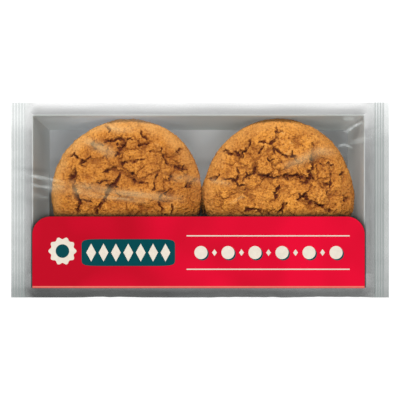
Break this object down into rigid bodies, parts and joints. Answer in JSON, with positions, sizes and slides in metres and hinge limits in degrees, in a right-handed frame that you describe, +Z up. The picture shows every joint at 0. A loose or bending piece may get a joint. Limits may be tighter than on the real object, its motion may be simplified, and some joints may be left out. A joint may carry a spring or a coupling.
{
  "type": "pack of coffee buns",
  "caption": "Sealed clear film pack of flat round cracked coffee buns in a rigid tray, with crimped end seals and a red label along its front.",
  "frame": {"origin": "middle of the pack's footprint, on the plane of its flat base", "axes": "+X from the left end seal to the right one, seen with the label nearest; +Y towards the back edge, away from the label; +Z up out of the clear window"},
  "size_m": [0.2046, 0.1056, 0.0524],
  "materials": {
    "clear_film": "clear glossy packing film over a grey tray and brown buns, crimped at both ends",
    "label_print": "glossy red print with cream and dark teal shapes",
    "bun_crust": "baked golden brown crust, cracked",
    "tray_plastic": "grey thermoformed tray, satin"
  },
  "bodies": {
    "root": {"sealed_pack": "clear_film", "front_label": "label_print"}
  },
  "joints": []
}
